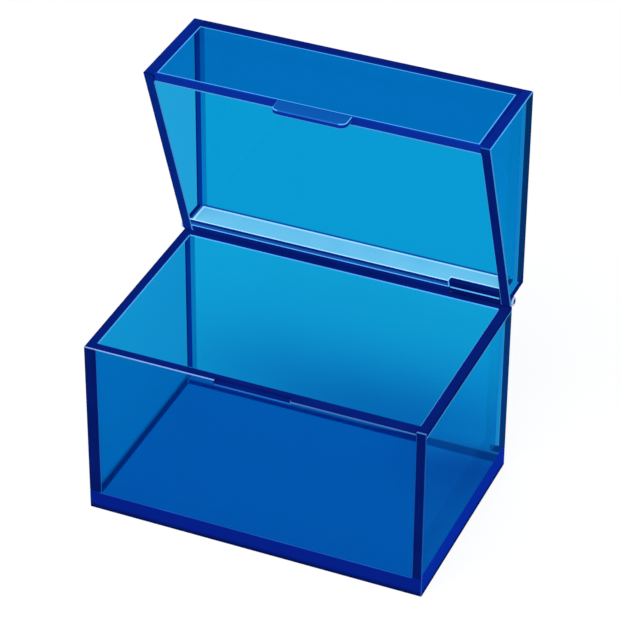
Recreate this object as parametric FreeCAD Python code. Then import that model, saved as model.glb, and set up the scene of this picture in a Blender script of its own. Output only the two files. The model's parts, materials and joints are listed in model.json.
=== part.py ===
import FreeCAD, Part
import math
import os

# Acrylic box with a hinged, wedge-shaped lid that stands open.
# Lengths are in millimetres. X runs along the hinge, the front faces -Y and +Z is up.
# The origin is the centre of the base's underside.

# Box, glued up from flat sheet
box_width = 100.0
box_depth = 65.0
box_height = 55.0
sheet = 3.0
base_thickness = 6.0

# Lid, glued up from the same sheet: a wedge, deeper in front than at the rear.
# Open, its front and rear walls lie level and its top panel stands upright.
lid_front_length = 33.0
lid_rear_length = 10.5
lid_front_overhang = 2.2
lid_rear_setback = 1.5
rim_gap = 0.15

# Hinge: a barrel on the box's rear rim, a knuckle on the lid and a rod through both
barrel_radius = 1.6
rod_radius = 0.8
running_clearance = 0.05
groove_clearance = 0.1
foot_clearance = 0.3
end_clearance = 0.1
knuckle_length = 15.0
knuckle_depth = 2.0
end_ring_radius = 1.4
end_ring_length = 0.6

# Finger tab on the lid's front edge, and the recess below it in the box's front rim
tab_width = 21.5
tab_reach = 5.0
tab_thickness = 1.6
tab_corner_radius = 2.0
recess_height = 1.4
recess_depth = 1.5
recess_side_clearance = 0.25

# How far a cutting shape runs past the faces that it cuts
cut_overrun = 1.0

# Box faces
half_width = box_width / 2
half_depth = box_depth / 2
inner_x = half_width - sheet
inner_y = half_depth - sheet

# Hinge axis: above the box's rear face, one barrel radius over the rim
axis_y = half_depth
axis_z = box_height + barrel_radius
knuckle_x = inner_x - knuckle_length
turning_radius = barrel_radius - running_clearance

# Lid corners in the side view, turned from the shut lid's rim to the open pose:
# the wedge's slope, from its rear wall to its front wall, is the angle that the lid opens by
rim_drop = barrel_radius - rim_gap
rim_reach = box_depth + lid_front_overhang
rim_length = rim_reach - lid_rear_setback
slope_cos = (lid_front_length - lid_rear_length) / rim_length
slope_sin = math.sqrt(1 - slope_cos ** 2)
rim_front_y = axis_y - rim_reach * slope_cos - rim_drop * slope_sin
rim_front_z = axis_z + rim_reach * slope_sin - rim_drop * slope_cos
rim_rear_y = axis_y - lid_rear_setback * slope_cos - rim_drop * slope_sin
rim_rear_z = axis_z + lid_rear_setback * slope_sin - rim_drop * slope_cos
lid_top_y = rim_front_y + lid_front_length

# The rim's slant carries it forwards by this much through one sheet of the lid's walls
rim_slant = sheet * slope_cos / slope_sin
front_edge_y = rim_front_y + rim_slant
rear_edge_y = rim_rear_y - rim_slant

X_DIRECTION = FreeCAD.Vector(1, 0, 0)


def block(low, high):
    """A box between two corners."""
    size = FreeCAD.Vector(*high) - FreeCAD.Vector(*low)
    return Part.makeBox(size.x, size.y, size.z, FreeCAD.Vector(*low))


def prism(outline, x_low, x_high):
    """A side-view outline of (y, z) points, drawn out along X."""
    corners = [FreeCAD.Vector(x_low, y, z) for y, z in outline]
    face = Part.Face(Part.makePolygon(corners + corners[:1]))
    return face.extrude(X_DIRECTION * (x_high - x_low))


def round_bar(radius, x_low, x_high):
    """A round bar on the hinge axis."""
    return Part.makeCylinder(radius, x_high - x_low, FreeCAD.Vector(x_low, axis_y, axis_z), X_DIRECTION)


def joined(first, *others):
    """Shapes fused into one clean solid."""
    return first.fuse(list(others)).removeSplitter().Solids[0]


def shut_to_open(y, z):
    """A point beside the hinge axis on the shut lid, moved to the open pose."""
    return axis_y + y * slope_cos + z * slope_sin, axis_z - y * slope_sin + z * slope_cos


def base_panel():
    return block((-half_width, -half_depth, 0), (half_width, half_depth, base_thickness))


def box_side_panel(x_low):
    return block((x_low, -half_depth, base_thickness), (x_low + sheet, half_depth, box_height))


def front_panel():
    """The front sheet, with the shallow recess under the finger tab in its outer face."""
    panel = block((-inner_x, -half_depth, base_thickness), (inner_x, -inner_y, box_height))
    recess_x = tab_width / 2 + recess_side_clearance
    recess_low = (-recess_x, -half_depth - cut_overrun, box_height - recess_height)
    recess_high = (recess_x, -half_depth + recess_depth, box_height + cut_overrun)
    return panel.cut(block(recess_low, recess_high))


def back_panel():
    return block((-inner_x, inner_y, base_thickness), (inner_x, half_depth, box_height))


def box_hinge_barrel():
    """The barrel between the lid's left side and its knuckle, on a foot on the back panel's rim."""
    x_low = -inner_x + end_clearance
    x_high = knuckle_x - end_clearance
    foot_low = (x_low, axis_y - lid_rear_setback + foot_clearance, box_height)
    foot_high = (x_high, axis_y, axis_z - barrel_radius / 2)
    barrel = joined(round_bar(barrel_radius, x_low, x_high), block(foot_low, foot_high))
    bore = round_bar(rod_radius + running_clearance, x_low - cut_overrun, x_high + cut_overrun)
    return barrel.cut(bore).Solids[0]


def ear_web(x_low, x_high):
    """The web that runs from the rear end of the lid's rim onto the round ear of the hinge."""
    outline = [(rim_rear_y, rim_rear_z), shut_to_open(0, -turning_radius), (axis_y, axis_z)]
    outline.append((axis_y, rim_rear_z))
    return prism(outline, x_low, x_high)


def lid_side_panel(x_low):
    """A side sheet of the lid, whose lower rear corner is the ear that holds the rod."""
    x_high = x_low + sheet
    outline = [(rim_front_y, rim_front_z), (lid_top_y, rim_front_z)]
    outline += [(lid_top_y, rim_rear_z), (rim_rear_y, rim_rear_z)]
    ear = round_bar(turning_radius, x_low, x_high)
    panel = joined(prism(outline, x_low, x_high), ear_web(x_low, x_high), ear)
    return panel.cut(round_bar(rod_radius, x_low - cut_overrun, x_high + cut_overrun)).Solids[0]


def lid_top_panel():
    return block((-inner_x, lid_top_y - sheet, rim_rear_z), (inner_x, lid_top_y, rim_front_z))


def lid_front_panel():
    """The lid's front sheet, cut square, with its inner edge on the rim."""
    low = (-inner_x, front_edge_y, rim_front_z - sheet)
    return block(low, (inner_x, lid_top_y - sheet, rim_front_z))


def knuckle_body():
    """The lid's knuckle before its bore: a block in the rear sheet, with a round ear below it."""
    block_rear_y = rear_edge_y + knuckle_depth
    inner_z = rim_rear_z + sheet
    outline = [(rim_rear_y, rim_rear_z), (rear_edge_y, inner_z), (block_rear_y, inner_z)]
    outline.append((block_rear_y, rim_rear_z))
    ear = round_bar(turning_radius, knuckle_x, inner_x)
    return joined(prism(outline, knuckle_x, inner_x), ear_web(knuckle_x, inner_x), ear)


def lid_hinge_knuckle():
    bore = round_bar(rod_radius, knuckle_x - cut_overrun, inner_x + cut_overrun)
    return knuckle_body().cut(bore).Solids[0]


def lid_rear_panel():
    """The lid's rear sheet, grooved to turn round the barrel and notched for the knuckle."""
    inner_z = rim_rear_z + sheet
    rear_y = lid_top_y - sheet
    outline = [(rim_rear_y, rim_rear_z), (rear_edge_y, inner_z), (rear_y, inner_z), (rear_y, rim_rear_z)]
    groove = round_bar(barrel_radius + groove_clearance, -inner_x - cut_overrun, knuckle_x)
    return prism(outline, -inner_x, inner_x).cut(groove).cut(knuckle_body()).Solids[0]


def lid_tab():
    """The finger tab on the edge of the lid's front sheet, with its two free corners rounded."""
    low_y = front_edge_y - tab_reach
    low = (-tab_width / 2, low_y, rim_front_z - tab_thickness)
    tab = block(low, (tab_width / 2, front_edge_y, rim_front_z))
    free_edges = [e for e in tab.Edges if math.isclose(e.CenterOfMass.y, low_y)]
    corners = [e for e in free_edges if math.isclose(e.Length, tab_thickness)]
    return tab.makeFillet(tab_corner_radius, corners)


def hinge_rod():
    rod_end_x = half_width + end_ring_length
    return round_bar(rod_radius, -rod_end_x, rod_end_x)


def hinge_end_ring(x_low):
    """A ring on the rod's end, outside the lid's side sheet."""
    x_high = x_low + end_ring_length
    ring = round_bar(end_ring_radius, x_low, x_high)
    return ring.cut(round_bar(rod_radius, x_low - cut_overrun, x_high + cut_overrun))


pieces = {
    "base_panel": base_panel(),
    "front_panel": front_panel(),
    "back_panel": back_panel(),
    "left_panel": box_side_panel(-half_width),
    "right_panel": box_side_panel(inner_x),
    "box_hinge_barrel": box_hinge_barrel(),
    "lid_top_panel": lid_top_panel(),
    "lid_front_panel": lid_front_panel(),
    "lid_rear_panel": lid_rear_panel(),
    "lid_left_panel": lid_side_panel(-half_width),
    "lid_right_panel": lid_side_panel(inner_x),
    "lid_tab": lid_tab(),
    "lid_hinge_knuckle": lid_hinge_knuckle(),
    "hinge_rod": hinge_rod(),
    "hinge_end_ring_left": hinge_end_ring(-half_width - end_ring_length),
    "hinge_end_ring_right": hinge_end_ring(half_width),
}

os.makedirs("parts", exist_ok=True)
for name, shape in pieces.items():
    shape.exportStep("parts/" + name + ".step")
    print(name, "solids", len(shape.Solids), "valid", shape.isValid(), "volume mm3", round(shape.Volume, 2))
print("hinge axis y, z mm:", round(axis_y, 4), round(axis_z, 4))
print("the lid stands open by degrees:", round(math.degrees(math.acos(slope_cos)), 3))
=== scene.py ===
# %% [markdown]
# The object is a flip-top keepsake box, glued up from clear blue sheet, with a wedge-shaped lid
# that turns on a rod along the rear rim. The frame holds its exact sizes and its hinge.
# This lesson builds the same pieces again in Blender with eased edges and see-through finishes,
# and stands each one exactly where the frame has it, so nothing has to be fitted by eye.

# %% Load the frame
import json
import math
import bpy
from mathutils import Matrix, Vector


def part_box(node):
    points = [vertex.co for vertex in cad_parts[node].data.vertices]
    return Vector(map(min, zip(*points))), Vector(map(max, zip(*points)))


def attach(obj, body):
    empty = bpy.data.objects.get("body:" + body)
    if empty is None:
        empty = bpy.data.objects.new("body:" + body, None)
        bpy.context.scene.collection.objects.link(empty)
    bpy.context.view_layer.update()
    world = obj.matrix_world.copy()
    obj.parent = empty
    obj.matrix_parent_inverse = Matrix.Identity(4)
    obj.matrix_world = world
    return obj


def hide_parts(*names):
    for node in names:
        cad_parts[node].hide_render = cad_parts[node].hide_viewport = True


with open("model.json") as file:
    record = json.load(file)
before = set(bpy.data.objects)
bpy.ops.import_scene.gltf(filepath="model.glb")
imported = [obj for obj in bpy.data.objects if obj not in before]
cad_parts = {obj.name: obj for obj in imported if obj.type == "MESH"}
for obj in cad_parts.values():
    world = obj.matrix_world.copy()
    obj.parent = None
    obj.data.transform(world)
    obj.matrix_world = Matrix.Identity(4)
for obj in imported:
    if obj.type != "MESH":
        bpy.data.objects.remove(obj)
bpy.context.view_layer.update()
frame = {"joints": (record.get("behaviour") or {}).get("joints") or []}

# %% [markdown]
# A maker measures before cutting. Sizes could be typed in, but these are read from the frame, so that
# a change of the frame carries through. The lid is drawn in side view, as points (y, z): its rim is a
# straight slope, and one number, the run of the rim for each unit of height, gives the rim at any
# height.

# %% Measure the frame
MM = 0.001
axis = Vector(frame["joints"][0]["pos_m"])
side_low, side_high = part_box("left_panel")
front_low, front_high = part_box("front_panel")
back_low, back_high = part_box("back_panel")
cheek_low, cheek_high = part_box("lid_left_panel")
cover_low, cover_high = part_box("lid_top_panel")
lid_wall_low, lid_wall_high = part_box("lid_front_panel")
barrel_low, barrel_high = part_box("box_hinge_barrel")
rod_low, rod_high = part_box("hinge_rod")
ring_low, ring_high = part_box("hinge_end_ring_right")
knuckle_low, knuckle_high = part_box("lid_hinge_knuckle")

sheet = side_high.x - side_low.x
inner_x = front_high.x
inner_y = back_low.y
rear_z = cover_low.z
rim_run = (lid_wall_low.y - cheek_low.y) / (lid_wall_high.z - lid_wall_low.z)
rim_angle = math.degrees(math.atan(rim_run))
barrel_radius = barrel_high.z - axis.z
ear_radius = axis.z - cheek_low.z
rod_radius = (rod_high.z - rod_low.z) / 2
ring_radius = (ring_high.z - ring_low.z) / 2


def rim_y(z):
    """Where the lid's rim lies at a height, when the lid stands open."""
    return cheek_low.y + (cheek_high.z - z) * rim_run


print("sheet mm:", round(sheet / MM, 3), "rim leans by degrees:", round(rim_angle, 2))

# %% [markdown]
# Glued pieces touch face to face. Two see-through faces in one place would flicker, so each glued
# end stops a hair short of its neighbour, which is also what a real film of cement does.
# A saw-cut edge is never sharp: its free corners are eased, and that thin arris catches the light.

# %% Small allowances
GLUE = 0.02 * MM
ARRIS = 0.24 * MM
print("glue film mm:", round(GLUE / MM, 3), "arris mm:", round(ARRIS / MM, 3))

# %% [markdown]
# Blender's operators act on whatever is selected, and loading the frame leaves its nodes selected.
# So each helper starts by deselecting all and choosing its own piece. A flat sheet starts as a cube
# primitive and a round bar as a cylinder primitive. Each is added at its size and place, and both are
# then moved into the mesh, so that the piece sits at the origin as the frame's nodes do.

# %% Helpers that start a flat sheet or a round bar
ARC_STEPS = 28
QUARTER_TURN = 90


def work_on(piece):
    """Makes one piece the only selected and active one."""
    bpy.ops.object.select_all(action="DESELECT")
    piece.select_set(True)
    bpy.context.view_layer.objects.active = piece


def settle(name):
    """Names the piece that was just added and moves its place into its mesh."""
    piece = bpy.context.object
    piece.name = piece.data.name = name
    bpy.ops.object.transform_apply(location=True, rotation=True, scale=True)
    return piece


def block(name, low, high):
    """A cube primitive between two corners."""
    bpy.ops.object.select_all(action="DESELECT")
    low, high = Vector(low), Vector(high)
    bpy.ops.mesh.primitive_cube_add(size=1, location=(low + high) / 2, scale=high - low)
    return settle(name)


def bar(name, radius, x_low, x_high):
    """A cylinder primitive along the hinge axis."""
    bpy.ops.object.select_all(action="DESELECT")
    middle = ((x_low + x_high) / 2, axis.y, axis.z)
    bpy.ops.mesh.primitive_cylinder_add(
        vertices=2 * ARC_STEPS, radius=radius, depth=x_high - x_low,
        location=middle, rotation=(0, math.radians(QUARTER_TURN), 0))
    return settle(name)


print("a round bar has", 2 * ARC_STEPS, "sides")

# %% [markdown]
# A plate with a curved side is no primitive. It could be cut from a cube with many tools, but it is
# simpler to draw its outline one vertex at a time, fill it and extrude it across, as one would by
# hand. The outline has its corners and, where it is round, the points of an arc.


# %% Helpers that start a plate with a curved side
def arc(radius, start, stop):
    """Side-view points on a circle round the hinge axis, between two angles in degrees."""
    turns = [start + (stop - start) * k / ARC_STEPS for k in range(ARC_STEPS + 1)]
    angles = [math.radians(turn) for turn in turns]
    return [(axis.y + radius * math.cos(a), axis.z + radius * math.sin(a)) for a in angles]


def plate(name, outline, x_low, x_high):
    """An outline of (y, z) points, drawn vertex by vertex, filled and extruded along X."""
    bpy.ops.object.select_all(action="DESELECT")
    bpy.ops.mesh.primitive_plane_add(size=sheet, location=(x_low, *outline[0]))
    piece = settle(name)
    bpy.ops.object.mode_set(mode="EDIT")
    bpy.ops.mesh.select_mode(type="VERT")
    bpy.ops.mesh.select_all(action="SELECT")
    bpy.ops.mesh.merge(type="CENTER")
    for here, there in zip(outline, outline[1:]):
        stride = (0, there[0] - here[0], there[1] - here[1])
        bpy.ops.mesh.extrude_vertices_move(TRANSFORM_OT_translate={"value": stride})
    bpy.ops.mesh.select_all(action="SELECT")
    bpy.ops.mesh.edge_face_add()
    bpy.ops.mesh.extrude_region_move(TRANSFORM_OT_translate={"value": (x_high - x_low, 0, 0)})
    bpy.ops.mesh.select_all(action="SELECT")
    bpy.ops.mesh.normals_make_consistent(inside=False)
    bpy.ops.object.mode_set(mode="OBJECT")
    return piece


print("an arc has", ARC_STEPS + 1, "points")

# %% [markdown]
# A recess, a notch and a bore are cut with a Boolean modifier, which is applied at once. The tool
# that did the cutting is deleted afterwards, as it isn't part of the object. A bisect without any
# clearing only adds edges. It scores a face or a long arris into stretches, and each of them can then
# take a finish of its own while the shape stays as it was.

# %% Helpers that cut
X, Y, Z = range(3)
OVERRUN = 1.0 * MM


def cut_out(piece, tool):
    """Takes the tool's shape out of a piece."""
    work_on(piece)
    cut = piece.modifiers.new("cut", "BOOLEAN")
    cut.operation, cut.solver, cut.object = "DIFFERENCE", "EXACT", tool
    bpy.ops.object.modifier_apply(modifier=cut.name)
    bpy.data.objects.remove(tool)
    return piece


def score(piece, direction, places):
    """Adds edges round a piece at places along one direction."""
    across = [0, 0, 0]
    across[direction] = 1
    work_on(piece)
    bpy.ops.object.mode_set(mode="EDIT")
    for place in places:
        bpy.ops.mesh.select_all(action="SELECT")
        bpy.ops.mesh.bisect(plane_co=[place * a for a in across], plane_no=across)
    bpy.ops.object.mode_set(mode="OBJECT")
    return piece


print("cutting tools run over by mm:", round(OVERRUN / MM, 3))

# %% [markdown]
# A maker eases the free edges with a scraper and leaves the glued ones, because cement fills those
# corners. A Bevel modifier would ease them all alike. So the sharp edges are selected in edit mode,
# the glued ones are taken out, and the bevel operator marks its narrow new faces as arrises.

# %% Helpers that ease the edges
FACE, EDGE, LINE, DIM, DARK, JOINT, SECOND, THIRD, FOURTH, FIFTH = range(10)
STRAIGHT = 0.99
SHARP_OVER = math.radians(40)
SMOOTH_UNDER = math.radians(20)


def outermost(piece, face, direction, way):
    """True for a face that looks along one direction at the very end of a piece."""
    reach = max(v.co[direction] * way for v in piece.data.vertices)
    looks_along = face.normal[direction] * way > STRAIGHT
    return looks_along and face.center[direction] * way > reach - GLUE


def ease_edges(piece, glued_edges):
    """Bevels the sharp free edges. The narrow new faces take the finish of the bright arris."""
    work_on(piece)
    bpy.ops.object.mode_set(mode="EDIT")
    bpy.ops.mesh.select_mode(type="EDGE")
    bpy.ops.mesh.select_all(action="DESELECT")
    bpy.ops.mesh.edges_select_sharp(sharpness=SHARP_OVER)
    bpy.ops.object.mode_set(mode="OBJECT")
    for face in piece.data.polygons:
        face.select = False
    for edge in piece.data.edges:
        edge.select = edge.select and edge.key not in glued_edges
    bpy.ops.object.mode_set(mode="EDIT")
    bpy.ops.mesh.bevel(offset=ARRIS, segments=1, affect="EDGES", material=LINE)
    bpy.ops.object.mode_set(mode="OBJECT")
    bpy.ops.object.shade_smooth_by_angle(angle=SMOOTH_UNDER)


print("a set holds up to", FIFTH + 1, "finishes")

# %% [markdown]
# Each sheet has a set of finishes: its broad faces, its cut edges, arrises in three tones of painted
# highlight and shade, and up to five special ones. One material with masks could hold them all, but a
# finish for each face is easier to follow. Each piece brings two small rules: one gives the tone of an
# arris, and one says which other faces look special. In them c is a face's centre, n its normal and old
# the finish that it has so far. Finishes that no face uses are dropped at the end.


# %% A helper that finishes a piece
def finish_piece(piece, body, node, finishes, broad=None, glued=(), tone=None, special=None):
    """Finishes the faces of a piece, eases its edges and puts it in its node's place."""
    for finish in finishes:
        piece.data.materials.append(finish)
    glued_edges = set()
    for face in piece.data.polygons:
        is_broad = broad is not None and abs(face.normal[broad]) > STRAIGHT
        face.material_index = FACE if is_broad else EDGE
        if any(outermost(piece, face, *end) for end in glued):
            face.material_index = FACE
            glued_edges.update(face.edge_keys)
    ease_edges(piece, glued_edges)
    for face in piece.data.polygons:
        if face.material_index == LINE and tone:
            face.material_index = tone(face.center, face.normal)
        elif special:
            face.material_index = special(face.center, face.normal, face.material_index)
    work_on(piece)
    bpy.ops.object.material_slot_remove_unused()
    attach(piece, body)
    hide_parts(node)
    print(piece.name, "for", node, "with", len(piece.data.polygons), "faces")


# %% [markdown]
# Finishes are node trees. Sums on sockets read best as sums, so one small class wraps a socket and
# adds a Math node for each operator. Every other node comes from one function, which sets a node's
# settings first and then its sockets, each with a plain value or with a wire from another node.


# %% A small language for shader nodes
class Wire:
    """An output socket. Arithmetic on it adds Math nodes to its tree."""

    def __init__(self, tree, socket):
        self.tree, self.socket = tree, socket

    def sum_node(self, operation, first, second):
        return add_node(self.tree, "ShaderNodeMath", {"operation": operation}, {0: first, 1: second})

    def __add__(self, other):
        return self.sum_node("ADD", self, other)

    def __sub__(self, other):
        return self.sum_node("SUBTRACT", self, other)

    def __rsub__(self, other):
        return self.sum_node("SUBTRACT", other, self)

    def __mul__(self, other):
        return self.sum_node("MULTIPLY", self, other)

    def __truediv__(self, other):
        return self.sum_node("DIVIDE", self, other)

    def __pow__(self, other):
        return self.sum_node("POWER", self, other)

    def __rpow__(self, other):
        return self.sum_node("POWER", other, self)

    def ramp(self, start, stop):
        """A soft step from 0 at the start to 1 at the stop."""
        return add_node(self.tree, "ShaderNodeMapRange", {"interpolation_type": "SMOOTHSTEP"},
                        {"Value": self, "From Min": start, "From Max": stop})

    __radd__, __rmul__ = __add__, __mul__


def add_node(tree, kind, settings=None, sockets=None, output=0):
    """Adds a node, sets its settings, feeds its sockets and returns one of its outputs."""
    node = tree.nodes.new(kind)
    for name, value in (settings or {}).items():
        setattr(node, name, value)
    for key, value in (sockets or {}).items():
        if isinstance(value, Wire):
            tree.links.new(value.socket, node.inputs[key])
        else:
            node.inputs[key].default_value = value
    return Wire(tree, node.outputs[output]) if len(node.outputs) else None


# %% [markdown]
# Every finish starts as an empty material. Its patterns are laid out in Object coordinates. Since all
# pieces sit at the origin, these are the frame's own coordinates, and a size in them is a real size.


# %% Helpers that start a finish
def new_finish(name):
    """An empty material, ready for nodes."""
    finish = bpy.data.materials.new(name)
    finish.use_nodes = True
    finish.node_tree.nodes.clear()
    return finish


def spot(tree):
    """The place of the shaded spot, whole and as its X, Y and Z."""
    place = add_node(tree, "ShaderNodeTexCoord", output="Object")
    parts = [add_node(tree, "ShaderNodeSeparateXYZ", sockets={0: place}, output=k) for k in (X, Y, Z)]
    return place, parts


def noise(tree, place, scale, detail):
    """A noise between 0 and 1 over a piece."""
    sockets = {"Vector": place, "Scale": scale, "Detail": detail}
    return add_node(tree, "ShaderNodeTexNoise", sockets=sockets)


# %% [markdown]
# Clear tinted sheet is mostly what lies behind it. A glass shader would bend every view line, and
# sixteen pieces of it are slow and noisy, while a thin flat sheet hardly shifts what is seen through
# it. So a broad face is a Transparent shader, which tints what it passes, with a reflection that
# grows towards grazing angles. A sheet has two faces, so each face has the root of its tint.
# Two depths of tint are mixed as painted shade, from the foot of the sheet to its head or by a rule of
# its own, with a slow noise on top for the faint clouding of cast sheet.

# %% The broad faces of a sheet
MIRROR = 0.35
MIRROR_TINT = (0.01, 0.3, 0.8)
HEAD_ON = 0.04
GRAZING_POWER = 5
EVEN_BLEND = 0.5
POLISH = 0.02
HAZE = 0.03
HAZE_SCALE = 420.0
HAZE_DETAIL = 3.0
CLOUD = 0.2
CLOUD_SCALE = 26.0
CLOUD_DETAIL = 2.0
NOISE_MIDDLE = 0.5


def per_face(tint):
    """A sheet's tint as the tint of one of its two faces."""
    return (*[math.sqrt(t) for t in tint], 1)


def sheet_finish(name, node, foot_tint, head_tint=None, rule=None):
    """A see-through finish of one tint, or of two mixed as painted shade by height or by a rule."""
    low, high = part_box(node)
    finish = new_finish(name)
    tree = finish.node_tree
    place, (x, y, z) = spot(tree)
    cloud = noise(tree, place, CLOUD_SCALE, CLOUD_DETAIL)
    shade_mix = rule(x, y, z) if rule else (z - low.z) / (high.z - low.z)
    shade_mix = shade_mix + CLOUD * (cloud - NOISE_MIDDLE)
    head_tint = head_tint or foot_tint
    foot = add_node(tree, "ShaderNodeBsdfTransparent", sockets={"Color": per_face(foot_tint)})
    head = add_node(tree, "ShaderNodeBsdfTransparent", sockets={"Color": per_face(head_tint)})
    body = add_node(tree, "ShaderNodeMixShader", sockets={0: shade_mix, 1: foot, 2: head})
    roughness = POLISH + HAZE * noise(tree, place, HAZE_SCALE, HAZE_DETAIL)
    gloss = add_node(tree, "ShaderNodeBsdfAnisotropic", sockets={
        "Color": (*MIRROR_TINT, 1), "Roughness": roughness})
    facing = add_node(tree, "ShaderNodeLayerWeight", sockets={"Blend": EVEN_BLEND}, output="Facing")
    mirror = MIRROR * (HEAD_ON + (1 - HEAD_ON) * facing ** GRAZING_POWER)
    both = add_node(tree, "ShaderNodeMixShader", sockets={0: mirror, 1: body, 2: gloss})
    add_node(tree, "ShaderNodeOutputMaterial", sockets={"Surface": both})
    return finish


print("share that a face mirrors head-on:", round(MIRROR * HEAD_ON, 4))

# %% [markdown]
# Painted shade makes a sheet deeper where other sheets shade it: the back wall in a wide soft patch
# over its foot, the right wall towards its lower front corner, and the base in its rear right corner.
# A picture could hold such patches, but a sum on the coordinates needs no file. Each rule gives 0
# where the painted shade is deepest and 1 far from there.

# %% Where painted shade makes a sheet deepest
FALL = 0.37
PATCH_MIDDLE = (20 * MM, 8 * MM)
PATCH_REACH = (65 * MM, 20 * MM)
CORNER_MIDDLE = (45 * MM, 28 * MM)
CORNER_REACH = (18 * MM, 16 * MM)
SHADE_LEAN = 0.75
SHADE_SPAN = (19 * MM, 33 * MM)


def away_from(first, second, middle, reach):
    """How far a spot is from the middle of a soft patch, in two of its coordinates."""
    one = (first - middle[0]) / reach[0]
    two = (second - middle[1]) / reach[1]
    return 1 - FALL ** (one * one + two * two)


def back_foot_shade(x, y, z):
    """Away from a wide patch of painted shade low on the back wall."""
    return away_from(x, z, PATCH_MIDDLE, PATCH_REACH)


def far_corner_shade(x, y, z):
    """Away from the painted shade in the rear right corner of the floor."""
    return away_from(x, y, CORNER_MIDDLE, CORNER_REACH)


def front_foot_shade(x, y, z):
    """Away from the painted shade in the lower front corner of a side wall."""
    climb = z + SHADE_LEAN * y
    return climb.ramp(*SHADE_SPAN)


print("patch on the back wall, mm across:", round(2 * PATCH_REACH[0] / MM))

# %% [markdown]
# Dye takes most of what it can take from white light in the first sheet, and what is left passes a
# second sheet more easily. So the sheets that stand against the white room, at the back and on the
# left, have the full tint, and the ones in front of them a lighter one. Where a wall is cemented to
# the base, a clear film joins the two.

# %% Tints of the sheets
# Where a sheet has two tints, the change between them is painted shade and light.
base_clear = sheet_finish("base_clear", "base_panel", (0.008, 0.12, 0.45), (0.008, 0.205, 0.57),
                          rule=far_corner_shade)
glue_clear = sheet_finish("glue_clear", "base_panel", (0.94, 0.98, 1.0), (0.96, 0.99, 1.0))
left_clear = sheet_finish("left_clear", "left_panel", (0.005, 0.28, 0.61), (0.006, 0.31, 0.64))
back_clear = sheet_finish("back_clear", "back_panel", (0.002, 0.145, 0.46), (0.005, 0.36, 0.68),
                          rule=back_foot_shade)
front_clear = sheet_finish("front_clear", "front_panel", (0.07, 0.49, 0.77), (0.07, 0.52, 0.78))
right_clear = sheet_finish("right_clear", "right_panel", (0.06, 0.37, 0.65), (0.5, 0.95, 0.97),
                           rule=front_foot_shade)
cover_clear = sheet_finish("cover_clear", "lid_top_panel", (0.003, 0.33, 0.66))
lid_left_clear = sheet_finish("lid_left_clear", "lid_left_panel", (0.016, 0.38, 0.71))
lid_right_clear = sheet_finish("lid_right_clear", "lid_right_panel", (0.15, 0.74, 0.87),
                               (0.1, 0.57, 0.78))
lid_wall_clear = sheet_finish("lid_wall_clear", "lid_front_panel", (0.07, 0.46, 0.75),
                              (0.07, 0.48, 0.76))
rear_clear = sheet_finish("rear_clear", "lid_right_panel", (0.0001, 0.067, 0.34))
print("sheet finishes are mixed")

# %% [markdown]
# Along a cut edge the eye looks down the whole width of a sheet, and so much dye takes nearly all
# the light: the edges of the real box are navy. A deep volume could do that, but it is slow and
# noisy, so an edge is an opaque dark finish with the faint streaks of the saw and a little glow of
# painted light.

# %% The finish of a cut edge
STREAK = 0.3
STREAK_SCALE = 90.0
STREAK_DETAIL = 4.0
ROUGH_SPREAD = 0.15
MIX_FACTOR, MIX_FIRST, MIX_LAST = 0, 6, 7
MIX_COLOUR = 2


def solid_finish(name, deep, pale, roughness=0.3, shine=0.0, glow=0.5, rule=None, clear_tint=None):
    """An opaque finish that wanders between two colours, by streaks or by a rule, and glows a little.

    With a tint, the rule says where the finish turns see-through. The glow is painted light."""
    finish = new_finish(name)
    tree = finish.node_tree
    place, (x, y, z) = spot(tree)
    streaks = noise(tree, place, STREAK_SCALE, STREAK_DETAIL)
    blend = streaks
    if rule and not clear_tint:
        blend = rule(x, y, z) + STREAK * (streaks - NOISE_MIDDLE)
    colours = {MIX_FACTOR: blend, MIX_FIRST: (*deep, 1), MIX_LAST: (*pale, 1)}
    colour = add_node(tree, "ShaderNodeMix", {"data_type": "RGBA"}, colours, output=MIX_COLOUR)
    surface = add_node(tree, "ShaderNodeBsdfPrincipled", sockets={
        "Base Color": colour, "Roughness": roughness + ROUGH_SPREAD * streaks,
        "Specular IOR Level": shine, "Emission Color": colour, "Emission Strength": glow})
    if clear_tint:
        clear = add_node(tree, "ShaderNodeBsdfTransparent", sockets={"Color": per_face(clear_tint)})
        mix = {0: rule(x, y, z), 1: surface, 2: clear}
        surface = add_node(tree, "ShaderNodeMixShader", sockets=mix)
    add_node(tree, "ShaderNodeOutputMaterial", sockets={"Surface": surface})
    return finish


print("streaks of the saw, mm:", round(1 / STREAK_SCALE / MM, 1))

# %% [markdown]
# The arris is the opposite of the edge: a painted highlight with a little glow stands in for the light
# that its eased corner catches. How much depends on what is behind, so arrises and edges come in a few
# tones of painted light and shade. The front rim's arris is a painted highlight, palest on the left.

# %% The cut edges and their arrises
LEFT_SPAN = (-20 * MM, 10 * MM)


def highlight_leftward(x, y, z):
    """0 on the right of the box, and 1 from a little left of its middle, where the highlight is palest.
    """
    return (-1 * x).ramp(*LEFT_SPAN)


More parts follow.
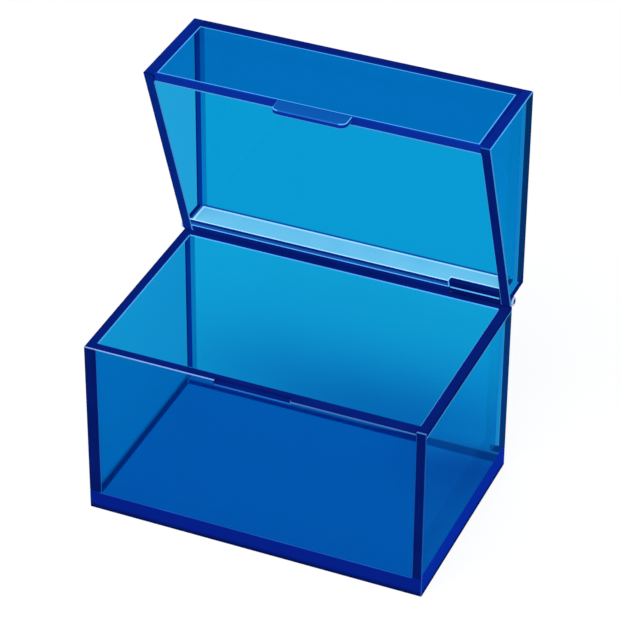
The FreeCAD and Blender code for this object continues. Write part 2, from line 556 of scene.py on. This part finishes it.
box_edge = solid_finish("box_cut_edge", (0.001, 0.006, 0.09), (0.002, 0.012, 0.15))
mid_edge = solid_finish("middle_cut_edge", (0.001, 0.009, 0.13), (0.002, 0.016, 0.21))
rim_edge = solid_finish("left_rim_edge", (0.0013, 0.014, 0.17), (0.0025, 0.027, 0.28))
lid_edge = solid_finish("lid_cut_edge", (0.0015, 0.016, 0.2), (0.003, 0.032, 0.34))
shaded_edge = solid_finish("shaded_cut_edge", (0.0006, 0.004, 0.06), (0.001, 0.007, 0.1))
bright_arris = solid_finish("bright_arris", (0.04, 0.25, 0.6), (0.08, 0.38, 0.78))
front_arris = solid_finish("front_arris", (0.05, 0.15, 0.43), (0.16, 0.29, 0.56), rule=highlight_leftward)
dim_arris = solid_finish("dim_arris", (0.006, 0.07, 0.32), (0.015, 0.13, 0.46))
dark_arris = solid_finish("dark_arris", (0.0005, 0.003, 0.05), (0.001, 0.006, 0.09))
# Cement is painted pale, as the light seen through a clear joint.
cement = solid_finish("cement", (0.05, 0.45, 0.75), (0.07, 0.55, 0.82))


def sheet_set(clear, edge, *special, line=bright_arris):
    """The finishes of one sheet, in the order of the numbers above."""
    return clear, edge, line, dim_arris, dark_arris, *special


print("edge finishes are mixed")

# %% [markdown]
# Edges on the far side are seen through the box with the bright room behind them, so they are painted
# lighter, and those of the base are navy only along their foot. On the near side the base gets little
# light close to the floor, so there its edges are painted with shade, from nearly black to their own
# blue.

# %% The edges of the base and on the far side
LEFT_FOOT = (1.6 * MM, 4.4 * MM)
REAR_FOOT = (0.9 * MM, 2.0 * MM)
REAR_CLIMB = 1.4 * MM
CLIMB_SPAN = (5 * MM, 32 * MM)
FLOOR_SHADE = (0, 2.4 * MM)


def above_left_foot(x, y, z):
    """0 along the foot of the base's left edge, and 1 above it."""
    return z.ramp(*LEFT_FOOT)


def above_rear_foot(x, y, z):
    """The same on the rear edge, where the foot is low on the left and climbs to the right."""
    climb = REAR_CLIMB * x.ramp(*CLIMB_SPAN)
    return (z - climb).ramp(*REAR_FOOT)


def above_floor(x, y, z):
    """0 at the floor, and 1 out of its painted shade."""
    return z.ramp(*FLOOR_SHADE)


far_edge = solid_finish("far_edge", (0.002, 0.04, 0.3), (0.004, 0.07, 0.4))
base_left_edge = solid_finish("base_left_edge", (0.002, 0.1, 0.34), (0.004, 0.15, 0.42),
                              rule=above_left_foot, clear_tint=(0.5, 0.95, 1.0))
base_rear_edge = solid_finish("base_rear_edge", (0.002, 0.06, 0.3), (0.004, 0.1, 0.38),
                              rule=above_rear_foot, clear_tint=(0.012, 0.15, 0.46))
base_front_edge = solid_finish("base_front_edge", (0.0005, 0.003, 0.05), (0.0016, 0.0135, 0.23),
                               rule=above_floor)
base_right_edge = solid_finish("base_right_edge", (0.0007, 0.004, 0.07), (0.0027, 0.028, 0.42),
                               rule=above_floor)
print("finishes of the base's edges are mixed")

# %% [markdown]
# The hinge is solid round stock, too thick to see through, and polished. Its rings are pale, and
# the shallow rear wall of the lid, over the hinge, shows a pale satin face. The gleam is a painted
# highlight, and the strip's shade is painted shade.

# %% The finishes of the hinge
hinge_dark = solid_finish("hinge_stock", (0.001, 0.008, 0.11), (0.002, 0.016, 0.2))
ring_pale = solid_finish("pale_ring", (0.28, 0.42, 0.68), (0.45, 0.6, 0.82), roughness=0.1, shine=0.5)
satin_strip = solid_finish("satin_strip", (0.1, 0.42, 0.63), (0.17, 0.5, 0.68),
                           roughness=0.35, shine=0.1)
strip_shade = solid_finish("strip_shade", (0.002, 0.06, 0.25), (0.004, 0.1, 0.34))
pale_arris = solid_finish("pale_arris", (0.25, 0.6, 0.8), (0.4, 0.7, 0.88))
gleam = solid_finish("hinge_gleam", (0.07, 0.36, 0.85), (0.11, 0.46, 0.95), glow=0.9)
tab_blue = solid_finish("tab_blue", (0.002, 0.06, 0.27), (0.003, 0.075, 0.31))
print("hinge finishes are mixed")

# %% [markdown]
# The base is the thick sheet that the walls stand on. Like all flat sheets here it starts as a cube,
# which has just the six faces that it needs. Its upper arrises stay dark under the side walls' own
# edges, so it is scored where those start. Under the back wall the film of cement lets light through
# the upper part of the rear edge, so that part is scored off too.

# %% Base of the box
SLANTED = 0.3
FILM_HEIGHT = 2.2 * MM
FILM_GAP = 1.5 * MM
base_low, base_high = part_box("base_panel")
film_z = base_high.z - FILM_HEIGHT
film_x = inner_x - FILM_GAP


def base_tone(c, n):
    """Dim lines at the front, the edge's own blue on the right, and a dark foot of painted shade."""
    far = n.x < -SLANTED or n.y > SLANTED
    if n.z < -SLANTED:
        return DIM if far else DARK
    if n.z > SLANTED and far:
        return FOURTH if c.x < inner_x else EDGE
    if n.z > SLANTED and n.x > SLANTED:
        return THIRD
    if n.z > SLANTED:
        return DIM if abs(c.x) < inner_x else EDGE
    if n.x < 0 and n.y > 0:
        return FACE
    return DIM if n.x > 0 and n.y < 0 else DARK


def base_sides(c, n, old):
    """Each side has an edge of its own, and the far walls stand on a clear film."""
    if n.x < -STRAIGHT:
        return JOINT
    if n.y > STRAIGHT and (c.z < film_z or film_x < c.x < inner_x):
        return SECOND
    if n.y > STRAIGHT:
        return FOURTH if c.x < inner_x else THIRD
    if n.z > STRAIGHT and c.x < inner_x and (c.x < -inner_x or c.y > inner_y):
        return FOURTH
    return THIRD if n.x > STRAIGHT else old


base = block("base_plate", base_low, base_high)
score(base, X, (-inner_x, film_x, inner_x))
score(base, Y, (-inner_y, inner_y))
score(base, Z, (film_z,))
finish_piece(base, "box", "base_panel",
             sheet_set(base_clear, base_front_edge, base_left_edge, base_rear_edge, base_right_edge,
                       glue_clear),
             broad=Z, tone=base_tone, special=base_sides)

# %% [markdown]
# The side walls run the full depth and show their edges all round the box's corners. Their inner
# upper arris has a painted highlight between the front and back walls. The outline of the object
# stays dark in painted shade. The rear edge of the right wall is navy near the outside only, with a
# painted highlight line along the navy. A picture could draw such lines, but scored strips stay
# crisp however near the camera comes.

# %% Rules for the edges of a side wall
NAVY_WIDTH = 1.85 * MM
NAVY_LINE = 0.3 * MM
navy_x = inner_x + sheet - NAVY_WIDTH
lit_x = navy_x - NAVY_LINE


def side_tone(c, n):
    """Painted highlight inside, edge colour on top outside, dim at right front, painted shade on
    outline.
    """
    inside = abs(c.x) < inner_x + sheet / 2
    if n.z > SLANTED and n.y < -SLANTED:
        return SECOND
    if c.x < 0 and not inside:
        return DARK
    if c.x < 0 and n.y < -SLANTED:
        return EDGE
    if n.z > SLANTED and abs(n.y) < SLANTED:
        return LINE if inside and abs(c.y) < inner_y else EDGE
    if n.z > SLANTED:
        return DARK
    if n.y > SLANTED and inside:
        return LINE if c.x < 0 else FOURTH
    return DARK if n.y > SLANTED else DIM


def rear_edge(c, n, old):
    """The rear edge is painted light on the left, and on the right navy near the outside and the foot.
    """
    if n.z < -STRAIGHT and c.x > 0 and c.y > inner_y and old == FACE:
        return EDGE
    if n.y < STRAIGHT:
        return old
    if c.x < 0:
        return JOINT
    return FOURTH if c.x < lit_x else LINE if c.x < navy_x else THIRD


print("navy of the right rear edge, mm:", round(NAVY_WIDTH / MM, 2))

# %% [markdown]
# Edges are mirrored inside the sheet, and that reflection is painted: the right wall has a border at
# its foot that looks like the base's edge, and one below its rim, with a painted highlight line along
# it. The two walls differ only in their place and tint, so one loop builds both.

# %% Side walls of the box
UNDER = (Z, -1)
FOOT_BORDER = 1.6 * MM
RIM_BORDER = 1.1 * MM
RIM_LINE = 0.5 * MM
raised = Vector((0, 0, GLUE))
border_foot = base_high.z + FOOT_BORDER
border_rim = side_high.z - RIM_BORDER
border_line = border_rim - RIM_LINE


def side_faces(c, n, old):
    """The painted reflections of edges at the right wall's foot and rim, and the rear edges."""
    if n.x < STRAIGHT or c.x < inner_x:
        return rear_edge(c, n, old)
    if c.z < border_foot:
        return FIFTH
    return EDGE if c.z > border_rim else LINE if c.z > border_line else old


for side, clear in (("left", left_clear), ("right", right_clear)):
    low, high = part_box(side + "_panel")
    wall = score(block(side + "_wall", low + raised, high), Y, (-inner_y, inner_y))
    score(wall, X, (lit_x, navy_x))
    score(wall, Z, (border_foot, border_line, border_rim))
    finish_piece(wall, "box", side + "_panel",
                 sheet_set(clear, box_edge, far_edge, front_arris, box_edge, rear_clear,
                           base_right_edge),
                 broad=X, glued=[UNDER], tone=side_tone, special=side_faces)

# %% [markdown]
# The back wall fits between the sides. The cement at its left end is painted pale, as light seen
# through the joint, and hides the rear edge of the side wall behind it, so that end gets a finish of
# its own. Its inner upper arris is a painted highlight. At the right end only the tip shows, in the
# groove beside the side wall's arris, and it is as dark as the rim. The lid's top has ends of the same
# kind, so a function makes the rule for a sheet of any height.

# %% Back wall of the box
ENDS = [(X, -1), (X, 1)]
TIP = 2 * ARRIS
short = Vector((GLUE, 0, 0))


def back_tone(c, n):
    return LINE if n.y < 0 else EDGE


def ends_below(top):
    """A rule for a sheet between two others, with a pale left end and a dark tip on the right one."""
    def rule(c, n, old):
        if n.x > STRAIGHT and c.z > top - TIP:
            return EDGE
        return JOINT if n.x < -STRAIGHT else old
    return rule


back = block("rear_wall", back_low + short + raised, back_high - short)
score(back, Z, (back_high.z - TIP,))
finish_piece(back, "box", "back_panel", sheet_set(back_clear, box_edge, cement),
             broad=Y, glued=ENDS + [UNDER], tone=back_tone, special=ends_below(back_high.z))

# %% [markdown]
# The front wall has a shallow recess in its rim, where the lid's finger tab comes down. The recess
# could be pushed in with an inset, but a Boolean with a block as wide as the tab, and a little room
# at each side, leaves no doubt about its size.

# %% Recess of the front wall
RECESS_SIDE = 0.25 * MM
RECESS_HEIGHT = 1.4 * MM
RECESS_DEPTH = 1.5 * MM
tab_low, tab_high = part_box("lid_tab")
recess_left = tab_low.x - RECESS_SIDE
recess_right = tab_high.x + RECESS_SIDE
front = block("front_wall", front_low + short + raised, front_high - short)
recess = block("recess_tool",
               (recess_left, front_low.y - OVERRUN, front_high.z - RECESS_HEIGHT),
               (recess_right, front_low.y + RECESS_DEPTH, front_high.z + OVERRUN))
cut_out(front, recess)
print("recess mm wide:", round((recess_right - recess_left) / MM, 2))

# %% [markdown]
# Seen from the front, the wall's left end shows the side wall's edge as a dark border with a dim line,
# and to the right of the recess the rim shows one with a bright line, a painted highlight. The borders
# are scored strips, as on the right wall.

# %% Front wall of the box
END_BORDER = 0.6 * MM
END_LINE = 0.25 * MM
FRONT_BORDER = 0.65 * MM
end_x = front_low.x + END_BORDER
front_border = front_high.z - FRONT_BORDER
front_line = front_border - RIM_LINE
recess_middle = front_low.y + RECESS_DEPTH / 2


def front_tone(c, n):
    """A painted highlight along the outer rim up to the recess, edge-coloured beyond it, dim at its
    foot.
    """
    outside = n.y < -SLANTED and c.y < recess_middle
    if outside and n.z > SLANTED and c.x > recess_right:
        return EDGE
    if outside and n.z > SLANTED:
        return LINE if c.z > front_high.z - RECESS_HEIGHT / 2 else DIM
    if outside and n.x < -SLANTED:
        return LINE
    return DIM if n.y > SLANTED else EDGE


def front_faces(c, n, old):
    """The rear of the recess is a cut face too. The borders lie on the left and along the right rim."""
    if n.x > STRAIGHT and c.z > front_high.z - TIP:
        return EDGE
    if n.y > -STRAIGHT:
        return old
    if c.y > recess_middle or c.x < end_x:
        return EDGE
    if c.x > recess_right and c.z > front_line:
        return EDGE if c.z > front_border else LINE
    return DIM if c.x < end_x + END_LINE else old


score(front, X, (end_x, end_x + END_LINE))
score(front, Z, (front_line, front_border, front_high.z - TIP))
finish_piece(front, "box", "front_panel",
             sheet_set(front_clear, box_edge, line=front_arris),
             broad=Y, glued=ENDS + [UNDER], tone=front_tone, special=front_faces)

# %% [markdown]
# The lid's cheeks are wedges whose lower corner swells into a round ear for the rod. A cube with its
# corners moved would lack the ear, so the side view is drawn as an outline. It runs from the rim's
# front end, round the back, under the ear and up along the rim.

# %% Outline of the cheeks
HALF_TURN = 180
ear_top = math.degrees(math.asin((rear_z - axis.z) / ear_radius))
rim_turn = rim_angle - HALF_TURN
rim_rear = (rim_y(rear_z), rear_z)
cheek_outline = [(cheek_low.y, cheek_high.z), (cheek_high.y, cheek_high.z), (cheek_high.y, rear_z)]
cheek_outline += arc(ear_radius, ear_top, rim_turn) + [rim_rear]
print("cheek outline has", len(cheek_outline), "points")

# %% [markdown]
# The cheeks take the same kinds of finish as the side walls. The right one has a dark border at its
# foot and a clear underside, and the left one a lighter rim. Each is bored for the rod.

# %% Cheeks of the lid
CHEEK_BORDER = 2.6 * MM
cheek_foot = rear_z + CHEEK_BORDER


def cheek_tone(c, n):
    """Painted highlights on the inner rim and the right outer arrises, painted shade on the outline."""
    inside = abs(c.x) < inner_x + sheet / 2
    if c.x < 0 and not inside:
        return DARK
    if n.y > SLANTED or n.z < -SLANTED and n.y > -SLANTED:
        return DARK if not inside else LINE if c.x < 0 else FOURTH
    if abs(n.x) < SLANTED:
        return DIM
    if n.z > SLANTED and inside:
        return EDGE
    if inside:
        return LINE if c.z < lid_wall_low.z else EDGE
    return LINE


def cheek_faces(c, n, old):
    """The right underside and border, the left rim, whose tip is all edge, and the rear edges."""
    if c.x > 0 and old == EDGE and n.z < -SLANTED and n.y > -SLANTED:
        return FOURTH
    if c.x < 0 and old == EDGE and n.y < -SLANTED:
        return FIFTH
    if n.x > STRAIGHT and c.x > inner_x and c.z < cheek_foot:
        return EDGE
    in_tip = c.y < lid_wall_low.y and c.z > lid_wall_low.z
    if c.x < 0 and old == FACE and n.x > STRAIGHT and in_tip:
        return EDGE
    return rear_edge(c, n, old)


for side, clear in (("left", lid_left_clear), ("right", lid_right_clear)):
    node = "lid_" + side + "_panel"
    low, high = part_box(node)
    cheek = plate("lid_" + side + "_cheek", cheek_outline, low.x, high.x)
    bore = bar("bore_tool", rod_radius + GLUE, low.x - OVERRUN, high.x + OVERRUN)
    cut_out(cheek, bore)
    score(cheek, X, (lit_x, navy_x))
    score(cheek, Y, (lid_wall_low.y,))
    score(cheek, Z, (lid_wall_low.z, cheek_foot))
    finish_piece(cheek, "lid", node,
                 sheet_set(clear, mid_edge, far_edge, mid_edge, shaded_edge, rear_clear, rim_edge),
                 broad=X, tone=cheek_tone, special=cheek_faces)

# %% [markdown]
# Between the cheeks lies the lid's top, which stands upright when the lid is open. It is a flat block
# with the same ends as the back wall. Only its front upper arris is as light as its edges.


# %% Top of the lid
def cover_tone(c, n):
    return EDGE if n.y < 0 and n.z > 0 else DARK


cover = block("lid_cover", cover_low + short, cover_high - short)
score(cover, Z, (cover_high.z - TIP,))
finish_piece(cover, "lid", "lid_top_panel", sheet_set(cover_clear, box_edge, cement),
             broad=Y, glued=ENDS, tone=cover_tone, special=ends_below(cover_high.z))

# %% [markdown]
# The lid's deep front wall lies level when the lid is open, with its cut edge towards the viewer.
# Inside the sheet the edges are mirrored, and that reflection is painted: a narrow border of its outer
# face looks as dark as they do, with a painted highlight line along it. The foot of the cut edge has a
# painted highlight and is scored off as well.

# %% Front wall of the lid
REAR_END = (Y, 1)
LIT_FOOT = 0.55 * MM
LINE_WIDTH = 0.3 * MM
SIDE_BORDER = 0.6 * MM
NEAR_BORDER = 0.3 * MM
REAR_BORDER = 0.8 * MM
nearer = Vector((0, GLUE, 0))
border_x = lid_wall_high.x - SIDE_BORDER
line_x = border_x - LINE_WIDTH
border_near = lid_wall_low.y + NEAR_BORDER
line_near = border_near + LINE_WIDTH
border_rear = lid_wall_high.y - REAR_BORDER
line_rear = border_rear - LINE_WIDTH


def lid_wall_tone(c, n):
    return LINE if n.z < 0 else EDGE


def lid_wall_faces(c, n, old):
    """Painted highlight at the cut edge's foot; the outer face has a painted border with a bright line.
    """
    if old == EDGE and c.z < lid_wall_low.z + LIT_FOOT:
        return LINE
    if n.x > STRAIGHT and c.z > lid_wall_high.z - TIP:
        return JOINT
    if n.z < STRAIGHT:
        return old
    if c.y > border_rear or abs(c.x) > border_x:
        return JOINT
    if c.y < border_near:
        return EDGE
    return FACE if line_near < c.y < line_rear and abs(c.x) < line_x else LINE


lid_wall = block("lid_front_wall", lid_wall_low + short, lid_wall_high - short - nearer)
score(lid_wall, X, (-border_x, -line_x, line_x, border_x))
score(lid_wall, Y, (border_near, line_near, line_rear, border_rear))
score(lid_wall, Z, (lid_wall_low.z + LIT_FOOT, lid_wall_high.z - TIP))
finish_piece(lid_wall, "lid", "lid_front_panel",
             sheet_set(lid_wall_clear, lid_edge, mid_edge),
             broad=Z, glued=ENDS + [REAR_END], tone=lid_wall_tone, special=lid_wall_faces)

# %% [markdown]
# The lid's rear wall is shallow. Its underside is grooved so that it can turn round the barrel, and
# it is notched at one end for the knuckle. The groove runs the whole length, so it is part of the
# drawn outline. The notch doesn't, so a block cuts it.

# %% Groove and notch of the lid's rear wall
GROOVE_ROOM = 0.1 * MM
KNUCKLE_DEPTH = 2.0 * MM
groove_radius = barrel_radius + GROOVE_ROOM
groove_turn = math.degrees(math.asin((rear_z - axis.z) / groove_radius))
inner_z = rear_z + sheet
knuckle_rear_y = rim_y(inner_z) + KNUCKLE_DEPTH
wall_rear_y = cover_low.y - GLUE
rear_outline = [rim_rear] + arc(groove_radius, HALF_TURN - groove_turn, groove_turn)
rear_outline += [(wall_rear_y, rear_z), (wall_rear_y, inner_z), (rim_y(inner_z), inner_z)]
rear = plate("lid_rear_wall", rear_outline, cover_low.x + GLUE, cover_high.x - GLUE)
notch = block("notch_tool", (knuckle_low.x - GLUE, rim_y(inner_z) - OVERRUN, rear_z - OVERRUN),
              (knuckle_high.x + OVERRUN, knuckle_rear_y + GLUE, inner_z + OVERRUN))
cut_out(rear, notch)
print("groove radius mm:", round(groove_radius / MM, 2))

# %% [markdown]
# The inner face of this wall is the pale strip over the hinge. The lid's top and left cheek shade it
# along two sides, and that shade is painted, with a pale line beside it. Its cut rim shows bands: navy
# above, then a blue of painted light, and a bright foot that is a painted highlight.

# %% Rear wall of the lid
SHADE_REAR = 0.9 * MM
SHADE_LEFT = 0.7 * MM
PALE_WIDTH = 0.7 * MM
BRIGHT_BAND = 0.6 * MM
BLUE_BAND = 1.7 * MM
shade_y = wall_rear_y - SHADE_REAR
shade_x = cover_low.x + SHADE_LEFT
pale_y = shade_y - PALE_WIDTH
pale_left = shade_x + PALE_WIDTH
pale_right = cover_high.x - PALE_WIDTH
bright_z = rear_z + BRIGHT_BAND
blue_z = rear_z + BLUE_BAND


def strip_tone(c, n):
    return LINE if n.z > 0 else SECOND


def rim_bands(c, n, old):
    """Pale strip with painted shade on two sides; the rim goes navy, blue, then a painted highlight."""
    if n.z > STRAIGHT and (c.y > shade_y or c.x < shade_x):
        return THIRD
    if n.z > STRAIGHT:
        return LINE if c.y > pale_y or c.x < pale_left or c.x > pale_right else JOINT
    if old == EDGE and n.y < 0:
        return SECOND if c.z < bright_z else DIM if c.z < blue_z else EDGE
    return old


score(rear, X, (shade_x, pale_left, pale_right))
score(rear, Y, (pale_y, shade_y))
score(rear, Z, (bright_z, blue_z))
finish_piece(rear, "lid", "lid_rear_panel",
             sheet_set(lid_wall_clear, lid_edge, satin_strip, gleam, strip_shade, line=pale_arris),
             broad=Z, glued=ENDS + [REAR_END], tone=strip_tone, special=rim_bands)

# %% [markdown]
# The finger tab is a small tongue on the lid's front edge. Its two free corners are rounded first,
# with a wide bevel on the two upright edges, and the rest of its edges are then eased. An outline
# would give the same shape, but a bevel keeps the radius as one number.

# %% Finger tab
TAB_CORNER = 2.0 * MM
TAB_STEPS = 10
TAB_LIT = 0.35 * MM
tab = block("finger_tab", tab_low, tab_high - nearer)
work_on(tab)
bpy.ops.object.mode_set(mode="EDIT")
bpy.ops.mesh.select_mode(type="EDGE")
bpy.ops.mesh.select_all(action="DESELECT")
bpy.ops.object.mode_set(mode="OBJECT")
for edge in tab.data.edges:
    ends = [tab.data.vertices[k].co for k in edge.vertices]
    upright = abs(ends[0].z - ends[1].z) > sheet / 4
    edge.select = upright and all(end.y < tab_low.y + GLUE for end in ends)
bpy.ops.object.mode_set(mode="EDIT")
bpy.ops.mesh.bevel(offset=TAB_CORNER, segments=TAB_STEPS, affect="EDGES")
bpy.ops.object.mode_set(mode="OBJECT")
lit_foot = tab_low.z + TAB_LIT
score(tab, Z, (lit_foot,))


# Its underside and rounded corners carry painted highlights, the other arrises dim lines, and the foot
# of its cut edge a painted highlight too.
def tab_tone(c, n):
    return LINE if n.z < 0 or abs(c.x) > tab_high.x - TAB_CORNER else DIM


def tab_foot(c, n, old):
    return LINE if old == EDGE and c.z < lit_foot else old


finish_piece(tab, "lid", "lid_tab", sheet_set(tab_blue, lid_edge),
             broad=Z, glued=[REAR_END], tone=tab_tone, special=tab_foot)

# %% [markdown]
# The barrel is a tube along the rear rim with a small foot that is cemented to the back sheet. A
# plain cylinder would have no foot to stand on, so it is a plate with a round outline: it starts at
# the foot, runs over the top and comes down to the rim again. The bore leaves the rod room to turn.

# %% Barrel on the box
FOOT_REACH = 1.2 * MM
RUNNING = 0.05 * MM
FULL_TURN = 360
foot_y = axis.y - FOOT_REACH
foot_z = barrel_low.z + GLUE
foot_drop = math.sqrt(barrel_radius ** 2 - FOOT_REACH ** 2)
foot_turn = math.degrees(math.atan2(-foot_drop, -FOOT_REACH)) + FULL_TURN
end_turn = -math.degrees(math.asin((axis.z - foot_z) / barrel_radius))
barrel_outline = [(foot_y, foot_z)] + arc(barrel_radius, foot_turn, end_turn)
barrel = plate("hinge_barrel", barrel_outline, barrel_low.x, barrel_high.x)
barrel_bore = bar("bore_tool", rod_radius + RUNNING, barrel_low.x - OVERRUN, barrel_high.x + OVERRUN)
hinge_finishes = [hinge_dark] * (LINE + 1)
finish_piece(cut_out(barrel, barrel_bore), "box", "box_hinge_barrel", hinge_finishes)

# %% [markdown]
# The knuckle is the lid's own part of the hinge: a block let into the rear wall, with a round ear
# below it. The rod is fixed in it and in the cheeks. Block and ear are one outline, so that no seam
# shows between them.

# %% Knuckle on the lid
step_up = math.sqrt(ear_radius ** 2 - (axis.y - knuckle_rear_y) ** 2)
step_turn = math.degrees(math.atan2(step_up, knuckle_rear_y - axis.y))
knuckle_outline = [rim_rear, (rim_y(inner_z), inner_z), (knuckle_rear_y, inner_z)]
knuckle_outline += arc(ear_radius, step_turn, rim_turn)
knuckle = plate("lid_knuckle", knuckle_outline, knuckle_low.x + GLUE, knuckle_high.x - GLUE)
knuckle_bore = bar("bore_tool", rod_radius + GLUE, knuckle_low.x - OVERRUN, knuckle_high.x + OVERRUN)
cut_out(knuckle, knuckle_bore)
score(knuckle, Z, (bright_z,))


# The knuckle's lit band is a painted highlight, in line with the rear wall's bright foot.
def knuckle_bands(c, n, old):
    lit = old == EDGE and n.y < 0 and abs(n.x) < SLANTED and rear_z < c.z < bright_z
    return LINE if lit else old


def knuckle_tone(c, n):
    return EDGE if n.z > 0 else DARK


finish_piece(knuckle, "lid", "lid_hinge_knuckle",
             sheet_set(box_edge, box_edge, line=gleam), tone=knuckle_tone, special=knuckle_bands)

# %% [markdown]
# The rod runs the whole width, and a pale ring sits on each of its ends. All three are cylinders,
# and a thinner one bores each ring, so that the rod's end shows in it.

# %% Rod and rings
rod = bar("hinge_pin", rod_radius, rod_low.x + GLUE, rod_high.x - GLUE)
finish_piece(rod, "lid", "hinge_rod", hinge_finishes)
ring_finishes = [ring_pale] * (LINE + 1)
for side in ("left", "right"):
    low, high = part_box("hinge_end_ring_" + side)
    ring = bar("rod_ring_" + side, ring_radius, low.x + GLUE, high.x - GLUE)
    eye = bar("bore_tool", rod_radius + GLUE, low.x - OVERRUN, high.x + OVERRUN)
    finish_piece(cut_out(ring, eye), "lid", "hinge_end_ring_" + side, ring_finishes)

# %% [markdown]
# The stage is a pale floor and a pale room. A bright floor alone would wash out the shadow, and a
# dark one would show through the sheets. So what the camera and reflections see of both is plain
# white, while the floor underneath still takes the shadow of the box.

# %% Floor and room
FLOOR_SIZE = 8.0
FLOOR_DROP = 0.05 * MM
FLOOR_COLOUR = (0.15, 0.15, 0.15)
FLOOR_GLOW = 0.89
ROOM_LIGHT = 0.5
SEEN_RAYS = ("Is Camera Ray", "Is Glossy Ray", "Is Transmission Ray")


def seen_directly(tree):
    """1 for rays from the camera, and for reflected and transmitted ones, and otherwise 0."""
    wires = [add_node(tree, "ShaderNodeLightPath", output=ray) for ray in SEEN_RAYS]
    total = wires[0] + wires[1] + wires[2]
    return add_node(tree, "ShaderNodeMath", {"operation": "MINIMUM"}, {0: total, 1: 1.0})


bpy.ops.object.select_all(action="DESELECT")
bpy.ops.mesh.primitive_plane_add(size=FLOOR_SIZE, location=(0, 0, -FLOOR_DROP))
floor = settle("floor")
floor_finish = new_finish("pale_floor")
floor_tree = floor_finish.node_tree
matte = add_node(floor_tree, "ShaderNodeBsdfDiffuse", sockets={"Color": (*FLOOR_COLOUR, 1)})
seen = seen_directly(floor_tree)
glow = add_node(floor_tree, "ShaderNodeEmission", sockets={"Strength": FLOOR_GLOW * seen})
paint = add_node(floor_tree, "ShaderNodeAddShader", sockets={0: matte, 1: glow})
add_node(floor_tree, "ShaderNodeOutputMaterial", sockets={"Surface": paint})
floor.data.materials.append(floor_finish)

room = bpy.data.worlds.new("pale_room")
bpy.context.scene.world = room
room.use_nodes = True
room.node_tree.nodes.clear()
brightness = ROOM_LIGHT + (1 - ROOM_LIGHT) * seen_directly(room.node_tree)
sky = add_node(room.node_tree, "ShaderNodeBackground", sockets={"Strength": brightness})
add_node(room.node_tree, "ShaderNodeOutputWorld", sockets={"Surface": sky})
print("floor:", floor.name, "room:", room.name)

# %% [markdown]
# Soft light comes from large area lamps. A sun would cast hard shadows. The main lamp stands near the
# camera's side of the box, so that most of the shadow falls behind it, and a smaller one lights the
# edges from the left.

# %% Lamps
LAMP_DISTANCE = 0.9


def way_to(azimuth, elevation):
    """The direction from the box to an azimuth and an elevation, both in degrees."""
    a, e = math.radians(azimuth), math.radians(elevation)
    return Vector((math.sin(a) * math.cos(e), -math.cos(a) * math.cos(e), math.sin(e)))


def softbox(name, azimuth, elevation, size, power):
    """An area lamp that looks at the middle of the box from an azimuth and an elevation."""
    away = way_to(azimuth, elevation)
    lamp = bpy.data.lights.new(name, "AREA")
    lamp.size, lamp.energy = size, power
    holder = bpy.data.objects.new(name, lamp)
    holder.location = Vector((0, 0, axis.z)) + away * LAMP_DISTANCE
    holder.rotation_euler = away.to_track_quat("Z", "Y").to_euler()
    bpy.context.scene.collection.objects.link(holder)
    print(name, "stands at", [round(c, 3) for c in holder.location])


softbox("main_softbox", azimuth=15, elevation=60, size=0.5, power=4.5)
softbox("edge_softbox", azimuth=-30, elevation=50, size=0.3, power=1.5)

# %% [markdown]
# The camera stands in front, to the right and above, with a long lens. Its place is given as an
# azimuth, an elevation, a small roll and a distance, and the point that it looks at. A look through
# the open lid crosses many see-through faces, so the limit for those is raised.

# %% Camera
VIEW_AZIMUTH = 22.924
VIEW_ELEVATION = 34.388
VIEW_ROLL = math.radians(0.4)
VIEW_DISTANCE = 879.12 * MM
AIM_RIGHT = 3.033 * MM
AIM_UP = 49.788 * MM
SENSOR = 36.0
LENS = 179.62
MOST_CLEAR_FACES = 64
back_way = way_to(VIEW_AZIMUTH, VIEW_ELEVATION)
level = Vector((math.cos(math.radians(VIEW_AZIMUTH)), math.sin(math.radians(VIEW_AZIMUTH)), 0))
upward = back_way.cross(level)
right_way = math.cos(VIEW_ROLL) * level + math.sin(VIEW_ROLL) * upward
up_way = math.cos(VIEW_ROLL) * upward - math.sin(VIEW_ROLL) * level
eye_point = AIM_RIGHT * right_way + AIM_UP * up_way + VIEW_DISTANCE * back_way
lens = bpy.data.cameras.new("camera")
lens.sensor_width, lens.lens = SENSOR, LENS
camera = bpy.data.objects.new("camera", lens)
turn = Matrix((right_way, up_way, back_way)).transposed()
camera.matrix_world = Matrix.Translation(eye_point) @ turn.to_4x4()
bpy.context.scene.collection.objects.link(camera)
bpy.context.scene.camera = camera
bpy.context.scene.view_settings.view_transform = "Standard"
bpy.context.scene.cycles.transparent_max_bounces = MOST_CLEAR_FACES
print("camera stands at", [round(c, 3) for c in eye_point])
